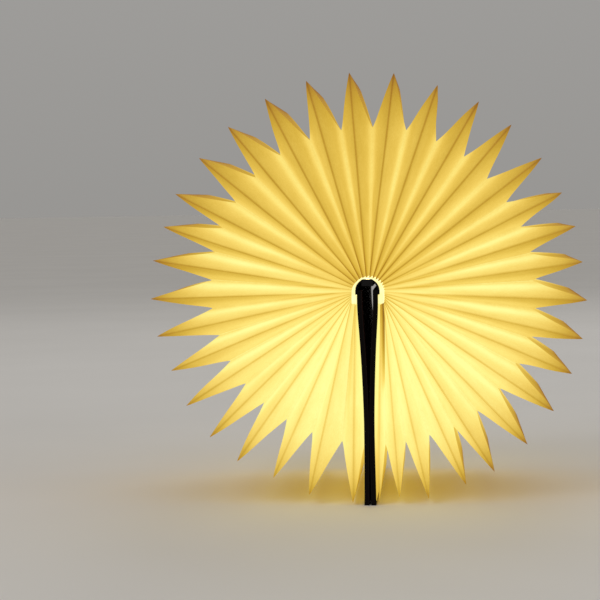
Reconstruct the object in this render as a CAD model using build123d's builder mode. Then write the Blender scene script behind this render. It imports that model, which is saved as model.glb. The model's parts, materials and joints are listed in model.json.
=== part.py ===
from build123d import *
import math
import os

# ---------------------------------------------------------------------------
# Folding book lamp, standing open: two bowed cover boards back to back, a slim
# light rail in the fold between them, and a pleated paper bellows fanned into
# a full star around the rail.  Millimetres, +Z up.  Origin: middle of the
# standing line, on the surface the lamp stands on.  The fold runs along Y, the
# star lies in XZ, its front face looks along -Y.
# ---------------------------------------------------------------------------

# ---- overall sizes ----
BOOK_LEN = 215.0            # length of the covers along the fold (Y)
HALF_LEN = BOOK_LEN / 2
COVER_TOP = 168.5           # cover height, fore-edge (z 0) to spine edge
CORE_T = 3.2                # fibreboard core
SKIN_T = 0.6                # outer covering
END_T = 0.25                # end paper glued on the inner face

# inner (paper side) face of a cover at rest: (height, distance from the middle)
COVER_FACE = [(0.0, 4.65), (24.0, 4.30), (48.0, 4.02), (68.0, 4.05), (80.0, 4.30),
              (93.0, 4.70), (105.0, 5.15), (118.0, 5.75), (130.0, 6.45), (143.0, 7.35),
              (152.0, 7.90), (160.0, 8.10), (168.5, 8.10)]

# ---- light rail and arch ----
ARCH_Z = 168.0              # height of the arch and fan centre
ARCH_R = 9.4                # outer radius of the dark arch
STRIP_R_IN = 8.15           # inner radius of the flexible hinge strips
STRIP_Z0 = 165.2            # foot of a hinge strip, on the paper side of its board
RAIL_W, RAIL_Z0, RAIL_Z1 = 9.4, 171.6, 175.9
CAP_Z0, CAP_Z1 = 171.5, 177.0
RAIL_LEN = 207.0
POCKET_W, POCKET_Z0 = 7.8, 172.4
LED_BOARD_W, LED_BOARD_T = 8.6, 0.8
FLEX_R, FLEX_T = 9.45, 0.2  # side light strips
LED_R0, LED_R1 = 9.70, 10.35
DIFF_Z = 167.0              # centre of the diffuser's arch
DIFF_R_IN, DIFF_R_OUT = 10.8, 12.3
DIFF_FOOT_Z = 158.0         # the diffuser's two legs end here
DIFF_LEN = 211.0
LIP_T = 0.9

# ---- paper bellows ----
PAPER_HALF = 106.6          # half length of the bellows along Y
PLEAT_DEPTH = 41.0          # how far a valley fold lies inside a ridge fold
ROOT_R = 12.95              # inner edge of the pleats, round the diffuser
# below the diffuser's feet the folds step in towards the covers: (angle, distance from the middle)
ROOT_IN_RIGHT = [(165.0, 12.95), (172.0, 12.6), (174.8, 12.2), (177.7, 9.8), (180.0, 9.4)]
ROOT_IN_LEFT = [(165.0, 12.95), (169.2, 11.6), (175.3, 10.0), (180.0, 9.4)]
FOLD_IN_ROOT, FOLD_IN_TIP = 3.0, 0.66   # in-plane depth of the paper at a fold
SEG_GAP = 0.18              # half gap between two paper segments

# ridge folds, clockwise from the top: (angle from straight up, outer radius)
RIDGES = [(7.8, 169.9), (19.7, 168.2), (31.3, 169.8), (41.7, 169.9), (53.4, 169.4), (63.9, 168.3),
          (73.5, 168.3), (83.1, 167.8), (93.2, 170.1), (103.3, 170.7), (112.8, 170.9), (123.6, 172.1),
          (134.6, 172.3), (145.7, 172.2), (153.8, 169.6), (164.3, 169.4), (171.9, 163.6), (177.7, 166.2),
          (184.7, 166.5), (196.7, 166.6), (207.5, 164.4), (218.1, 168.8), (227.9, 169.2), (238.3, 168.6),
          (248.6, 166.4), (258.5, 168.9), (268.6, 170.0), (278.8, 169.6), (288.2, 167.2), (297.6, 168.0),
          (309.1, 167.2), (320.5, 167.6), (332.8, 169.3), (344.6, 169.8), (356.1, 169.8)]
# valley folds: the one after each ridge (18 and its neighbour 19 end on the covers)
VALLEYS = [(14.0, 129.3), (25.3, 128.5), (36.5, 129.0), (47.8, 127.8), (58.6, 128.6), (68.7, 129.6),
           (78.2, 129.6), (87.9, 129.6), (97.9, 130.6), (107.9, 130.4), (117.9, 130.6), (128.4, 129.6),
           (139.4, 129.4), (149.4, 129.0), (158.4, 126.6), (167.4, 125.8), (174.8, 125.2), None,
           (190.8, 124.4), (202.4, 124.2), (213.0, 124.4), (223.4, 124.9), (233.2, 125.2), (243.2, 125.8),
           (253.4, 126.2), (263.6, 126.6), (273.8, 126.6), (284.0, 126.8), (293.2, 127.0), (303.6, 126.6),
           (315.2, 126.8), (327.2, 127.4), (339.0, 127.4), (350.8, 127.6), (2.0, 128.0)]
END_VALLEY_ROOT_Z, END_VALLEY_Z = 155.0, 46.0
SEGMENTS_RIGHT = [(1, 2, 3), (4, 5, 6), (7, 8, 9), (10, 11, 12), (13, 14, 15), (16, 17, 18)]
SEGMENTS_LEFT = [(35, 34, 33), (32, 31, 30), (29, 28, 27), (26, 25, 24), (23, 22, 21), (20, 19)]

os.makedirs("parts", exist_ok=True)


def face_x(z):
    """Distance of a cover's inner face from the middle plane at height z."""
    pts = COVER_FACE
    for (z0, x0), (z1, x1) in zip(pts, pts[1:]):
        if z <= z1:
            return x0 + (x1 - x0) * (z - z0) / (z1 - z0)
    return pts[-1][1]


def save(part, name):
    part.label = name
    export_step(part, f"parts/{name}.step")


# ---------------------------------------------------------------------------
# Covers: a bowed board, an outer skin on its back, an end paper on its face
# ---------------------------------------------------------------------------
def bowed_slab(side, out0, out1, z0, z1, y0, y1):
    """Slab that follows the cover's bow, between two offsets from its inner face."""
    zs = [z for z, _ in COVER_FACE if z0 + 2.0 < z < z1 - 2.0]
    zs = [z0] + zs + [z1]
    near = [(side * (face_x(z) + out0), z) for z in zs]
    far = [(side * (face_x(z) + out1), z) for z in zs]
    with BuildPart() as slab:
        with BuildSketch(Plane.XZ.offset(-y1)):
            with BuildLine():
                Spline(*near)
                Line(near[-1], far[-1])
                Spline(*far[::-1])
                Line(far[0], near[0])
            make_face()
        extrude(amount=y1 - y0)
    return slab.part


MAGNET_Y, MAGNET_Z, MAGNET_R, MAGNET_T = 92.0, 12.0, 5.0, 2.0
CELL_X0, CELL_T, CELL_Y, CELL_Z0, CELL_Z1 = 1.25, 2.0, 84.0, 28.0, 80.0
SENSE_X0, SENSE_R, SENSE_T, SENSE_Y, SENSE_Z = 5.4, 2.5, 1.5, 70.0, 158.0
FLEX_TAPE_W, FLEX_TAPE_Y = 6.0, 30.0

for side, word in ((-1, "left"), (1, "right")):
    with BuildPart() as cover_board:
        add(bowed_slab(side, -CORE_T, 0.0, 0.0, COVER_TOP, -HALF_LEN, HALF_LEN))
        # pockets for the magnets near the fore-edge, open to the back face
        with BuildSketch(Plane.YZ.offset(side * 0.9)):
            with Locations((-MAGNET_Y, MAGNET_Z), (MAGNET_Y, MAGNET_Z)):
                Circle(MAGNET_R + 0.1)
        extrude(amount=side * (MAGNET_T + 1.0), mode=Mode.SUBTRACT)
        if side < 0:
            # pocket for the flat cell and its lead
            with BuildSketch(Plane.YZ.offset(side * 0.5)):
                with Locations((0.0, (CELL_Z0 + CELL_Z1) / 2)):
                    Rectangle(CELL_Y + 1.0, CELL_Z1 - CELL_Z0 + 1.0)
            extrude(amount=side * (CELL_X0 + CELL_T + 0.1 - 0.5), mode=Mode.SUBTRACT)
            add(bowed_slab(side, -CORE_T - 0.3, -CORE_T + 0.4, CELL_Z1, COVER_TOP + 1.0,
                           FLEX_TAPE_Y - FLEX_TAPE_W / 2 - 0.2, FLEX_TAPE_Y + FLEX_TAPE_W / 2 + 0.2),
                mode=Mode.SUBTRACT)
        else:
            # small pocket for the magnet that the lid sensor looks for
            with BuildSketch(Plane.YZ.offset(SENSE_X0 - 1.6)):
                with Locations((SENSE_Y, SENSE_Z)):
                    Circle(SENSE_R + 0.1)
            extrude(amount=SENSE_T + 1.6, mode=Mode.SUBTRACT)
    save(cover_board.part, f"{word}_cover_board")

    with BuildPart() as cover_skin:
        add(bowed_slab(side, -CORE_T - SKIN_T, -CORE_T, 0.0, COVER_TOP, -HALF_LEN, HALF_LEN))
    save(cover_skin.part, f"{word}_cover_skin")

    with BuildPart() as end_paper:
        add(bowed_slab(side, 0.10, 0.10 + END_T, 3.0, 164.5, -HALF_LEN + 3.0, HALF_LEN - 3.0))
    save(end_paper.part, f"{word}_end_paper")

    with BuildPart() as magnets:
        with BuildSketch(Plane.YZ.offset(side * 1.65)):
            with Locations((-MAGNET_Y, MAGNET_Z), (MAGNET_Y, MAGNET_Z)):
                Circle(MAGNET_R)
        extrude(amount=side * MAGNET_T)
        chamfer(magnets.edges().filter_by(GeomType.CIRCLE), 0.2)
    save(magnets.part, f"{word}_cover_magnets")

with BuildPart() as battery_cell:
    with BuildSketch(Plane.YZ.offset(-CELL_X0)):
        with Locations((0.0, (CELL_Z0 + CELL_Z1) / 2)):
            RectangleRounded(CELL_Y, CELL_Z1 - CELL_Z0, 1.5)
    extrude(amount=-CELL_T)
save(battery_cell.part, "battery_cell")

with BuildPart() as battery_tape:
    add(bowed_slab(-1, -CORE_T + 0.02, -CORE_T + 0.32, CELL_Z1 + 0.6, COVER_TOP,
                   FLEX_TAPE_Y - FLEX_TAPE_W / 2, FLEX_TAPE_Y + FLEX_TAPE_W / 2))
save(battery_tape.part, "battery_tape")

with BuildPart() as sensor_magnet:
    with BuildSketch(Plane.YZ.offset(SENSE_X0)):
        with Locations((SENSE_Y, SENSE_Z)):
            Circle(SENSE_R)
    extrude(amount=SENSE_T)
save(sensor_magnet.part, "sensor_magnet")

# ---------------------------------------------------------------------------
# Light rail: a slim channel in the crown of the arch
# ---------------------------------------------------------------------------
RAIL_MID = (RAIL_Z0 + RAIL_Z1) / 2
with BuildPart() as light_rail:
    with BuildSketch(Plane.XZ.offset(-RAIL_LEN / 2)):
        with Locations((0, RAIL_MID)):
            Rectangle(RAIL_W, RAIL_Z1 - RAIL_Z0)
        with Locations((0, (POCKET_Z0 + RAIL_Z1 + 1) / 2)):
            Rectangle(POCKET_W, RAIL_Z1 + 1 - POCKET_Z0, mode=Mode.SUBTRACT)
    extrude(amount=RAIL_LEN)
    fillet(light_rail.edges().filter_by(Axis.Y).group_by(Axis.Z)[0], 0.5)
save(light_rail.part, "light_rail")

CAP_T = 2.4
CAP_MID, CAP_H = (CAP_Z0 + CAP_Z1) / 2, CAP_Z1 - CAP_Z0
with BuildPart() as front_end_cap:
    with BuildSketch(Plane.XZ.offset(RAIL_LEN / 2)):
        with Locations((0, CAP_MID)):
            RectangleRounded(RAIL_W - 0.1, CAP_H, 1.5)
    extrude(amount=CAP_T)
    # tongue that plugs into the channel
    with BuildSketch(Plane.XZ.offset(RAIL_LEN / 2)):
        with Locations((0, POCKET_Z0 + 1.3)):
            Rectangle(POCKET_W - 0.1, 2.4)
    extrude(amount=-5.0)
    fillet(front_end_cap.faces().sort_by(Axis.Y)[0].edges(), 0.4)
save(front_end_cap.part, "front_end_cap")

PORT_W, PORT_H, PORT_Z0 = 7.3, 2.45, 172.55
with BuildPart() as rear_end_cap:
    with BuildSketch(Plane.XZ.offset(-RAIL_LEN / 2 - CAP_T)):
        with Locations((0, CAP_MID)):
            RectangleRounded(RAIL_W - 0.1, CAP_H, 1.5)
        with Locations((0, PORT_Z0 + PORT_H / 2)):
            RectangleRounded(PORT_W + 0.1, PORT_H + 0.1, 0.6, mode=Mode.SUBTRACT)
    extrude(amount=CAP_T)
save(rear_end_cap.part, "rear_end_cap")

with BuildPart() as usb_port:
    # receptacle shell, mouth flush with the cap
    with BuildSketch(Plane.XZ.offset(-RAIL_LEN / 2 - CAP_T)):
        with Locations((0, PORT_Z0 + PORT_H / 2)):
            RectangleRounded(PORT_W, PORT_H, 0.55)
            offset(amount=-0.25, mode=Mode.SUBTRACT)
    extrude(amount=5.6)
    # back wall and contact tongue
    with BuildSketch(Plane.XZ.offset(-RAIL_LEN / 2 - CAP_T + 5.6)):
        with Locations((0, PORT_Z0 + PORT_H / 2)):
            RectangleRounded(PORT_W, PORT_H, 0.55)
    extrude(amount=0.4)
    with BuildSketch(Plane.XZ.offset(-RAIL_LEN / 2 - CAP_T + 5.6)):
        with Locations((0, PORT_Z0 + 1.45)):
            Rectangle(3.7, 0.6)
    extrude(amount=-4.4)
save(usb_port.part, "usb_port")

with BuildPart() as control_board:
    with BuildSketch(Plane.XY.offset(POCKET_Z0)):
        with Locations((0, 69.0)):
            Rectangle(7.0, 60.0)
    extrude(amount=0.8)
    # charge controller, inductor, driver and small parts
    with BuildSketch(Plane.XY.offset(POCKET_Z0 + 0.8)):
        with Locations((0, 88.0)):
            Rectangle(3.0, 3.0)
        with Locations((0.4, 78.0)):
            Rectangle(4.0, 4.0)
        with Locations((-0.8, 66.0)):
            Rectangle(3.0, 5.0)
        with Locations((2.2, 60.0), (2.2, 56.0), (-2.2, 58.0), (-2.2, 84.0), (2.4, 92.0)):
            Rectangle(1.0, 1.8)
    extrude(amount=1.1)
save(control_board.part, "control_board")

with BuildPart() as hall_sensor:
    with BuildSketch(Plane.XY.offset(POCKET_Z0 + 0.8)):
        with Locations((1.6, 70.0)):
            Rectangle(1.6, 2.9)
    extrude(amount=1.0)
save(hall_sensor.part, "hall_sensor")

with BuildPart() as top_led_board:
    with BuildSketch(Plane.XY.offset(RAIL_Z1)):
        Rectangle(LED_BOARD_W, RAIL_LEN - 3.0)
    extrude(amount=LED_BOARD_T)
save(top_led_board.part, "top_led_board")

LED_COUNT, LED_PITCH = 18, 11.2
with BuildPart() as top_leds:
    with BuildSketch(Plane.XY.offset(RAIL_Z1 + LED_BOARD_T)):
        with GridLocations(1.0, LED_PITCH, 1, LED_COUNT):
            Rectangle(2.8, 3.5)
    extrude(amount=0.7)
save(top_leds.part, "top_leds")

# ---------------------------------------------------------------------------
# Flexible shoulders of the arch, side light strips and diffuser halves
# ---------------------------------------------------------------------------
for side, word in ((-1, "left"), (1, "right")):
    with BuildPart() as hinge_strip:
        with BuildSketch(Plane.XZ.offset(-HALF_LEN + 0.5)):
            with Locations((0, ARCH_Z)):
                Circle(ARCH_R)
            with Locations((0, (STRIP_Z0 + ARCH_Z) / 2)):
                Rectangle(2 * ARCH_R, ARCH_Z - STRIP_Z0)
            with Locations((0, ARCH_Z)):
                Circle(STRIP_R_IN, mode=Mode.SUBTRACT)
            with Locations((0, ARCH_Z - 10)):
                Rectangle(2 * STRIP_R_IN, 20, mode=Mode.SUBTRACT)
            with Locations((side * (RAIL_W / 2 + 0.05 + 10), STRIP_Z0 + 10)):
                Rectangle(20, 20, mode=Mode.INTERSECT)
        extrude(amount=2 * HALF_LEN - 1.0)
    save(hinge_strip.part, f"{word}_hinge_strip")

    with BuildPart() as led_strip:
        with BuildSketch(Plane.XZ.offset(-101.0)):
            with Locations((0, ARCH_Z)):
                Circle(FLEX_R + FLEX_T)
                Circle(FLEX_R, mode=Mode.SUBTRACT)
            with Locations((side * (6.0 + 5), ARCH_Z + 3.8)):
                Rectangle(10, 7.4, mode=Mode.INTERSECT)
        extrude(amount=202.0)
    save(led_strip.part, f"{word}_led_strip")

    with BuildPart() as side_leds:
        for k in range(LED_COUNT):
            y = (k - (LED_COUNT - 1) / 2) * LED_PITCH
            with BuildSketch(Plane.XZ.offset(-y - 1.4)):
                with Locations((0, ARCH_Z)):
                    Circle(LED_R1)
                    Circle(LED_R0, mode=Mode.SUBTRACT)
                with Locations((side * (8.0 + 5), ARCH_Z + 2.0)):
                    Rectangle(10, 3.0, mode=Mode.INTERSECT)
            extrude(amount=2.8)
    save(side_leds.part, f"{word}_leds")

    with BuildPart() as diffuser:
        with BuildSketch(Plane.XZ.offset(-DIFF_LEN / 2)):
            with Locations((0, DIFF_Z)):
                Circle(DIFF_R_OUT)
            with Locations((0, (DIFF_Z + DIFF_FOOT_Z) / 2)):
                Rectangle(2 * DIFF_R_OUT, DIFF_Z - DIFF_FOOT_Z)
            with Locations((0, DIFF_Z)):
                Circle(DIFF_R_IN, mode=Mode.SUBTRACT)
            with Locations((0, DIFF_Z - 15)):
                Rectangle(2 * DIFF_R_IN, 30, mode=Mode.SUBTRACT)
            with Locations((side * (0.05 + 20), DIFF_FOOT_Z + 30)):
                Rectangle(40, 60, mode=Mode.INTERSECT)
        extrude(amount=DIFF_LEN)
        # a thin lip at either end closes the space round the lights
        for y_far in (DIFF_LEN / 2, -DIFF_LEN / 2 + LIP_T):
            with BuildSketch(Plane.XZ.offset(-y_far)):
                with Locations((0, DIFF_Z)):
                    Circle(DIFF_R_OUT - 0.7)
                with Locations((0, (DIFF_Z + DIFF_FOOT_Z) / 2)):
                    Rectangle(2 * DIFF_R_OUT - 1.4, DIFF_Z - DIFF_FOOT_Z)
                with Locations((0, ARCH_Z)):
                    Circle(ARCH_R + 0.15, mode=Mode.SUBTRACT)
                with Locations((0, ARCH_Z - 15)):
                    Rectangle(2 * ARCH_R + 0.3, 30, mode=Mode.SUBTRACT)
                with Locations((side * (5.0 + 20), DIFF_FOOT_Z + 30)):
                    Rectangle(40, 60, mode=Mode.INTERSECT)
            extrude(amount=LIP_T)
            with BuildSketch(Plane.XZ.offset(-y_far)):
                with Locations((side * (8.35 + DIFF_R_OUT - 0.7) / 2, (DIFF_FOOT_Z + STRIP_Z0 - 0.2) / 2)):
                    Rectangle(DIFF_R_OUT - 0.7 - 8.35, STRIP_Z0 - 0.2 - DIFF_FOOT_Z)
            extrude(amount=LIP_T)
    save(diffuser.part, f"{word}_diffuser")


# ---------------------------------------------------------------------------
# Paper bellows.  Every ridge fold is a U in one radial plane: out along the
# front face, back along the fore-edge, in along the rear face.  Every valley
# fold is a smaller U inside it.  The paper between them is the pleat.
# ---------------------------------------------------------------------------
def polar(angle, radius):
    a = math.radians(angle)
    return radius * math.sin(a), ARCH_Z + radius * math.cos(a)


def root_point(angle):
    """Inner end of a fold: over the diffuser's crown, down its leg, and in below its foot."""
    side = 1 if angle <= 180 else -1
    a = angle if side > 0 else 360 - angle
    if a <= 90.0:
        r = math.radians(a)
        return side * ROOT_R * math.sin(r), DIFF_Z + ROOT_R * math.cos(r)
    z = DIFF_Z - 0.122 * (a - 90.0) if a <= 172.0 else 157.0 - 0.03 * (a - 172.0)
    if a <= 165.0:
        return side * (ROOT_R + 0.16 * math.sin(math.pi * (a - 90.0) / 75.0)), z
    pts = ROOT_IN_RIGHT if side > 0 else ROOT_IN_LEFT
    for (a0, x0), (a1, x1) in zip(pts, pts[1:]):
        if a <= a1:
            return side * (x0 + (x1 - x0) * (a - a0) / (a1 - a0)), z
    return side * pts[-1][1], z


def ridge(k):
    angle, radius = RIDGES[k - 1]
    return root_point(angle), polar(angle, radius)


def valley(k, side):
    """Fold after ridge k, clockwise.  k 18 is the last one on either cover."""
    if k == 18:
        return ((side * (face_x(END_VALLEY_ROOT_Z) + 0.9), END_VALLEY_ROOT_Z),
                (side * (face_x(END_VALLEY_Z) + 0.75), END_VALLEY_Z))
    angle, radius = VALLEYS[k - 1]
    return root_point(angle), polar(angle, radius)


def shifted(line, towards, amount):
    """A fold line moved a little sideways, towards a neighbouring line."""
    out = []
    for (x, z), (tx, tz) in zip(line, towards):
        dx, dz = line[1][0] - line[0][0], line[1][1] - line[0][1]
        n = math.hypot(dx, dz)
        px, pz = -dz / n, dx / n
        s = 1.0 if (tx - x) * px + (tz - z) * pz > 0 else -1.0
        out.append((x + s * amount * px, z + s * amount * pz))
    return out


def u_points(line, depth, fold_root, fold_tip):
    """Outer and inner U of a fold: (root, tip) in XZ, set in from the two ends by depth."""
    (xr, zr), (xt, zt) = line
    n = math.hypot(xt - xr, zt - zr)
    ux, uz = (xt - xr) / n, (zt - zr) / n
    e = PAPER_HALF - depth
    outer = [(xr, -e, zr), (xt, -e, zt), (xt, e, zt), (xr, e, zr)]
    xi, zi = xt - fold_tip * ux, zt - fold_tip * uz
    inner = [(xr, -e + fold_root, zr), (xi, -e + fold_tip, zi), (xi, e - fold_tip, zi), (xr, e - fold_root, zr)]
    return outer, inner


def pleat_solid(ridge_line, side_a, side_b):
    ro, ri = u_points(ridge_line, 0.0, FOLD_IN_ROOT, FOLD_IN_TIP)
    faces = []

    def tri(a, b, c):
        faces.append(Face(Wire.make_polygon([Vector(*a), Vector(*b), Vector(*c)], close=True)))

    for line in (side_a, side_b):
        vo, vi = u_points(line, PLEAT_DEPTH, FOLD_IN_ROOT, FOLD_IN_TIP)
        for r, v in ((ro, vo), (ri, vi)):
            tri(r[0], r[1], v[1]); tri(r[0], v[1], v[0])
            tri(r[1], r[2], v[2]); tri(r[1], v[2], v[1])
            tri(r[2], r[3], v[2]); tri(r[3], v[3], v[2])
        # edge of the paper along the valley
        faces.append(Face(Wire.make_polygon([Vector(*p) for p in vo + vi[::-1]], close=True)))
        # inner ends of the two strips
        for i in (0, 3):
            tri(ro[i], vo[i], vi[i]); tri(ro[i], vi[i], ri[i])
    return Solid(Shell(faces))


def segment(numbers, side):
    """The separate pleats of one paper segment."""
    solids = []
    for i, k in enumerate(numbers):
        line = ridge(k)
        before = 35 if k == 1 else k - 1
        if k == 1:
            a = valley(35, 1)
        elif k == 19:
            a = valley(18, -1)
        else:
            a = valley(before, side)
        b = valley(18, 1) if k == 18 else valley(k, side)
        first, last = (i == 0), (i == len(numbers) - 1)
        outer_a = (side > 0 and first) or (side < 0 and last)
        outer_b = (side > 0 and last) or (side < 0 and first)
        if outer_a:
            a = shifted(a, line, SEG_GAP)
        if outer_b:
            b = shifted(b, line, SEG_GAP)
        solids.append(pleat_solid(line, a, b))
    return solids


for side, word, table in ((1, "right", SEGMENTS_RIGHT), (-1, "left", SEGMENTS_LEFT)):
    for n, numbers in enumerate(table, 1):
        pleats = segment(numbers, side)
        with BuildPart() as paper_segment:
            for pleat in pleats:
                add(pleat)
        solids = paper_segment.part.solids()
        if len(solids) != len(numbers) or any(not s.is_valid for s in solids):
            print("paper", word, n, len(solids), [s.is_valid for s in solids])
        save(paper_segment.part, f"paper_{word}_{n}")
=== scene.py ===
import bpy
import json
import math
import numpy as np
from mathutils import Matrix, Vector, noise


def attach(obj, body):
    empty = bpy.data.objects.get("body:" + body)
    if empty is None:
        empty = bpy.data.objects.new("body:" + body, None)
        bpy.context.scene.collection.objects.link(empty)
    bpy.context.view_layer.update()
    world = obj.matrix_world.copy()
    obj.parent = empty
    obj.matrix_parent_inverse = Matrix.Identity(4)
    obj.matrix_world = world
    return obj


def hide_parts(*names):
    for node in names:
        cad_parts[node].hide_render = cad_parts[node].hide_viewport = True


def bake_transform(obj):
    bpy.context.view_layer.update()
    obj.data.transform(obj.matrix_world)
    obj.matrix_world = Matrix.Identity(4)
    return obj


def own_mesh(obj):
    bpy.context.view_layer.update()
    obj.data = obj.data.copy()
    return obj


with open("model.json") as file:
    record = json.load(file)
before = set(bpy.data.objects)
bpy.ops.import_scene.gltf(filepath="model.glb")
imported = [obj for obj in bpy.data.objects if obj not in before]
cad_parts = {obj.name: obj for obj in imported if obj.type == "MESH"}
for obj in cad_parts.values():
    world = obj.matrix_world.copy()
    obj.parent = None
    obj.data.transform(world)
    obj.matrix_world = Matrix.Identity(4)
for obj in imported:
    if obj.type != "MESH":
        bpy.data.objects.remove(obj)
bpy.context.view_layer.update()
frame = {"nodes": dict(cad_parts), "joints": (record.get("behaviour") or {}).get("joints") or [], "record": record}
MM = 0.001
scene = bpy.context.scene
scene.view_settings.view_transform = "Standard"

# ---------------------------------------------------------------------------
# Camera: the photograph's viewing point, a little right of the lamp and above
# its middle.  Position in metres, angles in radians, focal length in pixels of
# the 600 pixel frame.
# ---------------------------------------------------------------------------
CAM_AT = Vector((0.0565, -1.6129, 0.2377))
CAM_YAW, CAM_PITCH, CAM_ROLL, CAM_F = -0.07230, -0.05035, -0.01644, 1937.3
look = Vector((math.sin(CAM_YAW) * math.cos(CAM_PITCH), math.cos(CAM_YAW) * math.cos(CAM_PITCH), math.sin(CAM_PITCH)))
flat_right = Vector((math.cos(CAM_YAW), -math.sin(CAM_YAW), 0.0))
flat_up = flat_right.cross(look)
right = flat_right * math.cos(CAM_ROLL) + flat_up * math.sin(CAM_ROLL)
up = flat_up * math.cos(CAM_ROLL) - flat_right * math.sin(CAM_ROLL)
cam_data = bpy.data.cameras.new("camera")
cam_data.sensor_width = 36.0
cam_data.lens = CAM_F / 600.0 * 36.0
cam_data.clip_end = 200.0
camera = bpy.data.objects.new("camera", cam_data)
scene.collection.objects.link(camera)
axes = Matrix((right, up, -look)).transposed().to_4x4()
camera.matrix_world = Matrix.Translation(CAM_AT) @ axes
scene.camera = camera

# ---------------------------------------------------------------------------
# The folds, as the model has them (millimetres and degrees from straight up)
# ---------------------------------------------------------------------------
HALF_LEN = 107.5
ARCH_Z, ARCH_R, STRIP_R_IN, STRIP_Z0 = 168.0, 9.4, 8.15, 165.2
DIFF_Z, DIFF_R_IN, DIFF_R_OUT, DIFF_FOOT_Z, DIFF_LEN, LIP_T = 167.0, 10.8, 12.3, 158.0, 211.0, 0.9
FLEX_R, FLEX_T, LED_R0, LED_R1, LED_COUNT, LED_PITCH = 9.45, 0.2, 9.70, 10.35, 18, 11.2
RAIL_W = 9.4
ROOT_R, PAPER_HALF, PLEAT_DEPTH = 12.95, 106.6, 41.0
RIDGES = [(7.8, 169.9), (19.7, 168.2), (31.3, 169.8), (41.7, 169.9), (53.4, 169.4), (63.9, 168.3),
          (73.5, 168.3), (83.1, 167.8), (93.2, 170.1), (103.3, 170.7), (112.8, 170.9), (123.6, 172.1),
          (134.6, 172.3), (145.7, 172.2), (153.8, 169.6), (164.3, 169.4), (171.9, 163.6), (177.7, 166.2),
          (184.7, 166.5), (196.7, 166.6), (207.5, 164.4), (218.1, 168.8), (227.9, 169.2), (238.3, 168.6),
          (248.6, 166.4), (258.5, 168.9), (268.6, 170.0), (278.8, 169.6), (288.2, 167.2), (297.6, 168.0),
          (309.1, 167.2), (320.5, 167.6), (332.8, 169.3), (344.6, 169.8), (356.1, 169.8)]
VALLEYS = [(14.0, 129.3), (25.3, 128.5), (36.5, 129.0), (47.8, 127.8), (58.6, 128.6), (68.7, 129.6),
           (78.2, 129.6), (87.9, 129.6), (97.9, 130.6), (107.9, 130.4), (117.9, 130.6), (128.4, 129.6),
           (139.4, 129.4), (149.4, 129.0), (158.4, 126.6), (167.4, 125.8), (174.8, 125.2), None,
           (190.8, 124.4), (202.4, 124.2), (213.0, 124.4), (223.4, 124.9), (233.2, 125.2), (243.2, 125.8),
           (253.4, 126.2), (263.6, 126.6), (273.8, 126.6), (284.0, 126.8), (293.2, 127.0), (303.6, 126.6),
           (315.2, 126.8), (327.2, 127.4), (339.0, 127.4), (350.8, 127.6), (2.0, 128.0)]
COVER_FACE = [(0.0, 4.65), (24.0, 4.30), (48.0, 4.02), (68.0, 4.05), (80.0, 4.30),
              (93.0, 4.70), (105.0, 5.15), (118.0, 5.75), (130.0, 6.45), (143.0, 7.35),
              (152.0, 7.90), (160.0, 8.10), (168.5, 8.10)]
END_VALLEY_ROOT_Z, END_VALLEY_Z = 155.0, 46.0
ROOT_IN_RIGHT = [(165.0, 12.95), (172.0, 12.6), (174.8, 12.2), (177.7, 9.8), (180.0, 9.4)]
ROOT_IN_LEFT = [(165.0, 12.95), (169.2, 11.6), (175.3, 10.0), (180.0, 9.4)]
SEGMENTS = {"right": [(1, 2, 3), (4, 5, 6), (7, 8, 9), (10, 11, 12), (13, 14, 15), (16, 17, 18)],
            "left": [(35, 34, 33), (32, 31, 30), (29, 28, 27), (26, 25, 24), (23, 22, 21), (20, 19)]}
# some folds lie a little further in at the rear than at the front
LEAN = (2.08, 1.7, 1.32, 0.95, 0.57, 0.2)
REAR_TUCK = {10: 1.2, 11: 1.4, 12: 1.2, 15: 1.2, 31: 1.0, 32: 1.5, 33: 1.8, 34: 1.8, 35: 1.4}


def face_x(z):
    pts = COVER_FACE
    for (z0, x0), (z1, x1) in zip(pts, pts[1:]):
        if z <= z1:
            return x0 + (x1 - x0) * (z - z0) / (z1 - z0)
    return pts[-1][1]


def polar(angle, radius):
    a = math.radians(angle)
    return radius * math.sin(a), ARCH_Z + radius * math.cos(a)


def root_point(angle):
    """Inner end of a fold: over the diffuser's crown, down its leg, and in below its foot."""
    angle = angle % 360
    side = 1 if angle <= 180 else -1
    a = angle if side > 0 else 360 - angle
    if a <= 90.0:
        r = math.radians(a)
        return side * ROOT_R * math.sin(r), DIFF_Z + ROOT_RISE * math.cos(r)
    z = DIFF_Z - 0.122 * (a - 90.0) if a <= 172.0 else 157.0 - 0.03 * (a - 172.0)
    if a <= 165.0:
        return side * (ROOT_R + 0.16 * math.sin(math.pi * (a - 90.0) / 75.0)), z
    pts = ROOT_IN_RIGHT if side > 0 else ROOT_IN_LEFT
    for (a0, x0), (a1, x1) in zip(pts, pts[1:]):
        if a <= a1:
            return side * (x0 + (x1 - x0) * (a - a0) / (a1 - a0)), z
    return side * pts[-1][1], z


def fold(kind, k, side):
    """(root x, z), tip angle, tip radius of one fold line."""
    if kind == "ridge":
        angle, radius = RIDGES[k - 1]
        return root_point(angle), angle, radius
    if k == 18:
        x, z = side * (face_x(END_VALLEY_Z) + 0.75), END_VALLEY_Z
        angle = math.degrees(math.atan2(x, z - ARCH_Z)) % 360
        root = (side * (face_x(END_VALLEY_ROOT_Z) + 0.9), END_VALLEY_ROOT_Z)
        return root, angle, math.hypot(x, z - ARCH_Z)
    angle, radius = VALLEYS[k - 1]
    return root_point(angle), angle, radius


def near_angle(a, b):
    """b moved by whole turns to lie next to a."""
    return a + (b - a + 180.0) % 360.0 - 180.0


VALLEY_FROM = 0.78                     # where a panel starts to round into its valley
ACROSS = (0.0, 0.03, 0.08, 0.16, 0.27, 0.4, 0.53, 0.66, 0.78, 0.86, 0.93, 1.0)
NU, NF = 22, 18


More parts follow.
